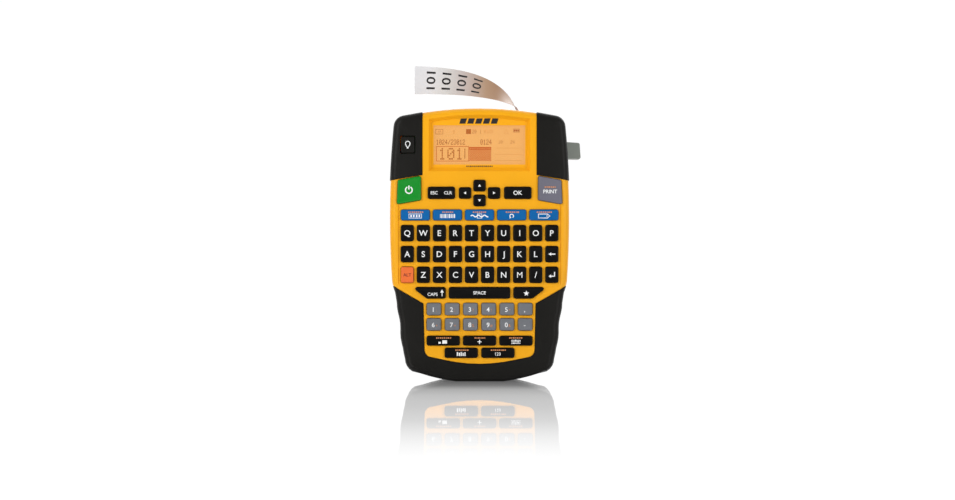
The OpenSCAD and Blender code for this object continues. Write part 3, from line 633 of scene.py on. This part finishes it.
def bulb_icon(h, width):
    r = h * 0.3
    crown = arc(Vector((0, h * 0.16)), r, -32, 212, 22)
    ring = stroke(crown + scaled(h, (-0.12, -0.3), (0.12, -0.3)), width, closed=True)
    foot = scaled(h, (-0.1, -0.5), (0.1, -0.5), (0.1, -0.34), (-0.1, -0.34))
    return merged([ring, (foot, [(0, 1, 2, 3)])])


KEY_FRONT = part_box("key_ok")[0].y
KEY_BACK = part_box("key_ok")[1].y
LETTER_H = 3.6 * MM
WORD_H = 1.95 * MM
DIGIT_H = 2.8 * MM
SIGN_H = 1.7 * MM
ICON_LINE = 0.55 * MM


def build_keys():
    """Every keycap. Caps of one row share one node and one travel."""
    keys = {
        "power": green_key, "print": print_key, "escape": black_key, "ok": black_key, "up": black_key,
        "down": black_key, "left": black_key, "right": black_key, "row_top": black_key,
        "row_middle": black_key, "row_bottom": black_key, "alt": orange_key, "caps": black_key,
        "space": black_key, "favourites": black_key, "row_numbers_high": grey_key,
        "row_numbers_low": grey_key,
    }
    for i in range(1, 6):
        keys[f"function_{i}"] = blue_key
        keys[f"menu_{i}"] = black_key
    for key, material in keys.items():
        keycap(f"key_{key}", material, KEY_FRONT, KEY_BACK)
    low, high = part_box("key_backlight")
    keycap("key_backlight", black_rubber, low.y, high.y)


def centres(node):
    return [flat_middle(ring) for ring in front_outlines(node)]


def print_key_face(node, placed, material=white_ink, tag="legend"):
    """Ink on the caps of one key node. placed holds (shape, middle x, middle z)."""
    ink(f"{node}_{tag}", placed, KEY_FRONT, material, node, front_outlines(node))


def print_row(node, signs, height=0.0, dx=0.0, dz=0.0, bold=0.00005, **look):
    """One sign on each cap of a node, dx and dz millimetres from the cap's middle."""
    placed = []
    for place, sign in zip(centres(node), signs):
        shape = word(sign, height, 0.0 if sign == "M" else bold) if isinstance(sign, str) else sign
        placed.append((shape, place.x + dx * MM, place.y + dz * MM))
    print_key_face(node, placed, **look)


def print_cluster(node, *signs):
    """Several signs on the one cap of a node. Each is (shape, millimetres right, millimetres up)."""
    at = centres(node)[0]
    print_key_face(node, [(shape, at.x + dx * MM, at.y + dz * MM) for shape, dx, dz in signs])


def star(outer, inner):
    corners = []
    for k in range(10):
        turn = Vector((math.sin(math.pi * k / 5), math.cos(math.pi * k / 5)))
        corners.append((outer if k % 2 == 0 else inner) * MM * turn)
    return corners, [tuple(reversed(range(10)))]


def print_legends():
    second = {"material": warm_ink, "tag": "second_legend"}
    print_row("key_row_top", list("QWERTYUIOP"), LETTER_H)
    print_row("key_row_middle", list("ASDFGHJKL") + [arrow_left(4.4 * MM, 0.75 * MM)], LETTER_H)
    print_row("key_row_bottom", list("ZXCVBNM/") + [return_arrow(3.4 * MM, 0.75 * MM)], LETTER_H)
    for row, digits in (("high", "12345,"), ("low", "67890-")):
        print_row("key_row_numbers_" + row, list(digits), DIGIT_H, dx=-0.4, dz=-0.3)
    for row, signs in (("high", ":;?!*"), ("low", "+=%#&")):
        print_row("key_row_numbers_" + row, list(signs), SIGN_H, dx=1.7, dz=-0.7, bold=0.0, **second)
    print_row("key_alt", ["ALT"], 2.0 * MM, material=maroon_ink)
    print_row("key_ok", ["OK"], 2.6 * MM)
    print_row("key_space", ["SPACE"], WORD_H)
    print_row("key_print", ["PRINT"], 2.25 * MM, dz=-0.9)
    print_row("key_print", [dashes(7.0)], dz=1.9, **second)
    print_row("key_power", [power_icon(2.1 * MM, 0.8 * MM)])
    for direction in ("up", "down", "left", "right"):
        print_row("key_" + direction, [triangle(direction, 1.5 * MM)])
    print_cluster("key_escape", (word("ESC", WORD_H), -4.5, 0), (word("CLR", WORD_H), 4.3, 0))
    print_cluster("key_caps", (word("CAPS", WORD_H), 1.4, -0.9), (up_arrow(3.8 * MM, 0.5 * MM), 7.4, -0.2))
    print_cluster("key_favourites", (star(1.9, 0.8), -1.5, -0.4))
    low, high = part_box("key_backlight")
    ink("key_backlight_legend", [(bulb_icon(4.8 * MM, 0.5 * MM), (low.x + high.x) / 2, (low.z + high.z) / 2)],
        low.y, white_ink, "key_backlight", front_outlines("key_backlight"))
    for group, icons in (("function", function_icons()), ("menu", menu_icons())):
        for i, icon in enumerate(icons, 1):
            print_row(f"key_{group}_{i}", [icon], dz=-0.7)
            print_row(f"key_{group}_{i}", [dashes(SECOND_WIDTHS[i % 4])], dz=1.75, **second)


# Widths of the second legends, and lengths of their marks and gap, in millimetres
SECOND_WIDTHS = (7.5, 9.0, 6.5, 8.5)
DASHES = (0.9, 0.6, 1.1, 0.75)
DASH_GAP = 0.4


def dashes(width):
    """A row of small marks, width mm long, in place of a word."""
    shapes, x = [], -width / 2
    while x < width / 2:
        long = DASHES[len(shapes) % len(DASHES)]
        shapes.append(bar(x, x + long, -0.42, 0.42))
        x += long + DASH_GAP
    return merged(shapes)


def outline(points, share=1.0):
    return stroke(points, ICON_LINE * share, closed=True)


def function_icons():
    """Plain pictures for the five blue keys: switch panel, bar code, cable wrap, turn, tag."""
    panel = merged([outline(box_ring(-4, 4, -1.3, 1.3), 0.8)] +
                   [bar(x - 0.45, x + 0.45, -0.75, 0.75) for x in (-2.6, -0.9, 0.9, 2.6)])
    bars, x = [], -4.6
    for w in (0.35, 0.7, 0.35, 1.0, 0.35, 0.35, 0.8, 0.5, 0.35, 0.9):
        bars.append(bar(x, x + w, -1.25, 1.25))
        x += w + 0.42
    wave = stroke(path(*((-5.5 + 0.55 * k, 0.55 * math.sin(0.9 * k)) for k in range(21))), ICON_LINE * 1.3)
    cable = merged([wave, outline(box_ring(-1.4, 1.4, -1.35, 1.35), 0.8)])
    tip, tip_faces = triangle("right", 1.1 * MM)
    turn = merged([stroke(arc(Vector((0, 0)), 1.15 * MM, -60, 220, 24), ICON_LINE),
                   ([v + Vector((-0.8 * MM, -0.95 * MM)) for v in tip], tip_faces)])
    tag = merged([outline(path((-3.4, -1.25), (2.2, -1.25), (3.8, 0), (2.2, 1.25), (-3.4, 1.25))),
                  disc(Vector((2.0 * MM, 0)), 0.4 * MM)])
    return [panel, merged(bars), cable, turn, tag]


def menu_icons():
    """Plain pictures for the five menu keys: size, add, settings, library, counter."""
    size = merged([bar(-3.0, -1.5, -1.2, 0.0), bar(-0.6, 2.4, -1.2, 1.0)])
    add = merged([stroke(path((-1.3, 0), (1.3, 0)), ICON_LINE), stroke(path((0, -1.3), (0, 1.3)), ICON_LINE)])
    knobs = path((-1.2, -0.95), (1.4, 0), (-0.2, 0.95))
    settings = merged([stroke(path((-3, z), (3, z)), ICON_LINE * 0.7) for z in (-0.95, 0, 0.95)] +
                      [disc(knob, 0.45 * MM) for knob in knobs])
    library = merged([bar(x - 0.4, x + 0.4, -1.25, top)
                      for x, top in ((-2.4, 1.2), (-1.2, 0.8), (0, 1.25), (1.2, 0.7), (2.4, 1.1))])
    return [size, add, settings, library, word("123", 1.9 * MM)]


# ------------------------------------------------------------------ display

def dot_text(text, pitch, cx, cz, fill=0.86):
    """Digits made of dots, centred at cx, cz. pitch is the spacing of the dots across and up."""
    rows = [".".join(parts) for parts in zip(*(DOT_DIGITS[c] for c in text))]
    shapes = []
    across, up = pitch
    for j, row in enumerate(rows):
        for i, sign in enumerate(row):
            if sign == "#":
                x, z = cx + (i - len(row) / 2) * across, cz + (len(rows) / 2 - j - 1) * up
                shapes.append(bar(x, x + across * fill, z, z + up * fill))
    return shapes


DOT_DIGITS = {
    "0": [".###.", "#...#", "#..##", "#.#.#", "##..#", "#...#", ".###."],
    "1": ["..#..", ".##..", "..#..", "..#..", "..#..", "..#..", ".###."],
    "2": [".###.", "#...#", "....#", "..##.", ".#...", "#....", "#####"],
    "3": [".###.", "#...#", "....#", "..##.", "....#", "#...#", ".###."],
    "4": ["...#.", "..##.", ".#.#.", "#..#.", "#####", "...#.", "...#."],
    "/": ["....#", "...#.", "...#.", "..#..", ".#...", ".#...", "#...."],
}


HATCH_PITCH = 0.56
HATCH_SPREAD = 0.03


def build_display():
    """The backlit panel and what it shows. All places are in millimetres in the part's frame."""
    dress(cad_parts["lcd_panel"], lcd_glow)
    dark, text, mid, pale = [], [], [], []

    def lcd_frame(x0, x1, z0, z1, width):
        return stroke(box_ring(x0, x1, z0, z1), width * MM, closed=True)

    # Entry frame with three digits and a cursor
    dark.append(lcd_frame(-27.5, -7.0, 140.2, 149.5, 0.5))
    mid += dot_text("101", (0.91, 1.08), -18.2, 144.9)
    mid.append(bar(-9.6, -9.1, 141.8, 148.2))
    # Hatched length of label that is still free, closer hatched along its top
    for j in range(16):
        for i in range(25):
            if (i + j) % 2 == 0 or j > 12 and i % 2 == 0:
                x0, z0 = -6.6 + i * HATCH_PITCH, 140.2 + j * HATCH_PITCH
                dark.append(bar(x0 - HATCH_SPREAD, x0 + HATCH_PITCH + HATCH_SPREAD,
                                z0 - HATCH_SPREAD, z0 + HATCH_PITCH + HATCH_SPREAD))
    # Two lines of counters above it
    text += dot_text("1024/23012", (0.31, 0.46), -18.4, 152.3, 0.95)
    text += dot_text("0124", (0.31, 0.46), 4.1, 152.3, 0.95)
    mid += dot_text("10", (0.25, 0.3), 13.3, 152.4)
    mid += dot_text("24", (0.25, 0.3), 21.0, 152.4)
    # Row of small signs with a battery at its right end
    mid.append(lcd_frame(-27.9, -23.3, 157.4, 160.4, 0.35))
    mid += dot_text("10", (0.2, 0.22), -25.6, 158.9)
    pale.append(bar(-16.5, -16.1, 157.6, 160.0))
    mid.append(bar(-8.6, -5.4, 157.4, 160.5))
    text += dot_text("20", (0.24, 0.34), -3.3, 159.0)
    mid += dot_text("1", (0.24, 0.34), 0.6, 159.0)
    pale += dot_text("0123", (0.24, 0.3), 5.6, 159.0)
    pale.append(stroke(path((15.6, 157.6), (18.4, 157.6), (17.0, 160.4)), 0.25 * MM, closed=True))
    text.append(lcd_frame(21.6, 25.4, 158.6, 160.6, 0.3))
    text += [bar(x, x + 0.8, 159.0, 160.2) for x in (22.0, 23.1, 24.2)]
    # Faint ruled scale for the label length
    pale += [bar(9.6, 26.8, z, z + 0.16) for z in (140.4, 144.4, 148.4)]
    for name, shapes, material in (("signs", dark, lcd_pixel), ("text", text, lcd_text),
                                   ("digits", mid, lcd_middle), ("faint_signs", pale, lcd_pale)):
        ink(f"display_{name}", [(merged(shapes), 0, 0)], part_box("lcd_panel")[0].y, material, "root")


# How far the face round the display lies behind the key face
RECESS_DEPTH = 2.8 * MM


def print_badge():
    """A plain striped badge above the display, and a short row of marks below it."""
    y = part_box("front_shell")[0].y + RECESS_DEPTH
    stripes = []
    for k in range(5):
        x = -12.6 + 5.0 * k
        stripes.append((path((x, -1.7), (x + 3.9, -1.7), (x + 5.0, 1.7), (x + 1.1, 1.7)), [(0, 1, 2, 3)]))
    ink("badge", [(merged(stripes), -0.3 * MM, 165.5 * MM)], y, dark_ink, "root")
    ink("badge_marks", [(dashes(16.5), -0.2 * MM, 136.75 * MM)], y, dark_ink, "root")


# ------------------------------------------------------------------ label

TAPE_X, TAPE_Y = 26 * MM, 12 * MM
TAPE_HALF = 9.5 * MM
LABEL_START_Z = 150 * MM
LABEL_LENGTH = 98.8 * MM
# How the label leans over and twists: degrees at its guide, degrees gained in the end, where the change
# starts, and over what length most of it happens
LEAN = (-12.9, 106.6, 10.5 * MM, 26.6 * MM)
TWIST = (0.0, 89.5, 28 * MM, 34.7 * MM)


def label_line(steps):
    """Stations along the label: centre, width direction and normal."""
    step = LABEL_LENGTH / steps
    place = Vector((TAPE_X, TAPE_Y, LABEL_START_Z))
    stations = []
    for k in range(steps + 1):
        stations.append((place.copy(), *label_axes(k * step)[1:]))
        place += label_axes((k + 0.5) * step)[0] * step
    return stations


def settled(s, first, gained, start, reach):
    """An angle in radians that starts changing at length start and settles ever more gently."""
    return math.radians(first + gained * (1 - math.exp(-max(s - start, 0) / reach)))


def label_axes(s):
    """Heading, width direction and normal of the label at length s."""
    lean, twist = settled(s, *LEAN), settled(s, *TWIST)
    heading = Vector((-math.sin(lean), 0, math.cos(lean)))
    across = Vector((math.sin(twist) * math.cos(lean), math.cos(twist), math.sin(twist) * math.sin(lean)))
    return heading, across, across.cross(heading)


LABEL_STATIONS = label_line(120)


def label_point(s, v, lift):
    """The point at length s and v to the side of the centre, lift above the printed side."""
    at = min(max(s / LABEL_LENGTH, 0), 1) * (len(LABEL_STATIONS) - 1)
    k = min(int(at), len(LABEL_STATIONS) - 2)
    (p, across_p, up_p), (q, across_q, up_q) = LABEL_STATIONS[k:k + 2]
    f = at - k
    return p.lerp(q, f) + across_p.lerp(across_q, f) * v + up_p.lerp(up_q, f) * lift


def strip_mesh(rings, columns):
    """A closed band: each ring is one side's points followed by the other side's."""
    verts = [v for ring in rings for v in ring]
    n, m = 2 * columns, len(rings)
    faces = []
    order = list(range(columns)) + list(range(2 * columns - 1, columns - 1, -1))
    for j in range(m - 1):
        for i in range(n):
            a, b = order[i], order[(i + 1) % n]
            faces.append((j * n + a, j * n + b, (j + 1) * n + b, (j + 1) * n + a))
    for i in range(columns - 1):
        end = (m - 1) * n
        faces.append((i + 1, i, columns + i, columns + i + 1))
        faces.append((end + i, end + i + 1, end + columns + i + 1, end + columns + i))
    return verts, faces


def build_label():
    """The printed label beyond the cut, and the short length below it that is still on its way."""
    columns = 9
    half = 0.09 * MM
    across = [TAPE_HALF * (2 * i / (columns - 1) - 1) for i in range(columns)]

    def upright(z):
        return [Vector((TAPE_X + side * half, TAPE_Y + v, z)) for side in (1, -1) for v in across]

    curled = [upright(148.4 * MM)]
    for k in range(len(LABEL_STATIONS)):
        s = k * LABEL_LENGTH / (len(LABEL_STATIONS) - 1)
        curled.append([label_point(s, v, side * half) for side in (1, -1) for v in across])
    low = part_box("label_strip")[0].z
    below = [upright(low + 0.1 * MM), upright(145.7 * MM)]
    label = add_mesh("label", *merged([strip_mesh(curled, columns), strip_mesh(below, columns)]), label_stock_with_painted_shade)
    label.modifiers.new("split", "EDGE_SPLIT").split_angle = math.radians(40)
    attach(label, "root")
    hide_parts("label_strip")
    print_label()


PRINT_WIDTH = 12.3 * MM


def print_label():
    """Four printed numbers, read from the lower edge to the upper one."""
    verts, faces = [], []
    shape_verts, shape_faces = word("101", 5.5 * MM, 0.00012)
    fit = PRINT_WIDTH / (max(v.x for v in shape_verts) - min(v.x for v in shape_verts))
    for k in range(4):
        s = LABEL_LENGTH - (10.6 + 10.1 * k) * MM
        start = len(verts)
        verts += [label_point(s + v.y, v.x * fit, 0.13 * MM) for v in shape_verts]
        faces += [tuple(start + i for i in f) for f in shape_faces]
    piece = add_mesh("label_print", verts, faces, dark_ink, smooth=False)
    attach(piece, "root")


# ------------------------------------------------------------------ the CAD nodes that stay in view

def dress(obj, material):
    """Give an object one material in place of its own."""
    obj.data.materials.clear()
    obj.data.materials.append(material)


def smooth_cad(node, angle=32.0):
    """Smooth shading across the fine facets of a curved shell, with its real edges kept."""
    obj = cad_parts[node]
    weld = obj.modifiers.new("weld", "WELD")
    weld.merge_threshold = 0.002 * MM
    for polygon in obj.data.polygons:
        polygon.use_smooth = True
    split = obj.modifiers.new("split", "EDGE_SPLIT")
    split.split_angle = math.radians(angle)


def dress_cad():
    looks = {
        "front_shell": yellow_plastic, "rear_shell": yellow_plastic, "corner_bumper_left": black_rubber,
        "corner_bumper_right": black_rubber, "lower_grip": black_rubber, "display_lens": window_clear,
        "main_board": solder_mask, "keypad_mat": silicone, "mechanism_frame": steel, "drive_motor": steel,
        "motor_pinion": brass, "idler_gear": acetal, "platen_roller": roller_rubber, "platen_gear": acetal,
        "ribbon_spindle": acetal, "print_head": steel, "cutter_lever": lever_plastic,
        "lever_pivot_pin": steel, "lever_spring": steel, "cutter_blade": steel,
        "cassette_case": pale_plastic, "tape_spool": spool_film, "cassette_lid": black_plastic,
        "lid_latch": black_plastic, "battery_door": black_plastic, "battery_cells": cell_sleeve,
        "battery_contacts": steel, "dc_jack": black_plastic, "case_screws": steel,
    }
    for node, material in looks.items():
        dress(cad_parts[node], material)
    for node in ("front_shell", "rear_shell", "corner_bumper_left", "corner_bumper_right", "lower_grip"):
        smooth_cad(node)


dress_cad()
build_keys()
print_legends()
build_display()
print_badge()
build_label()
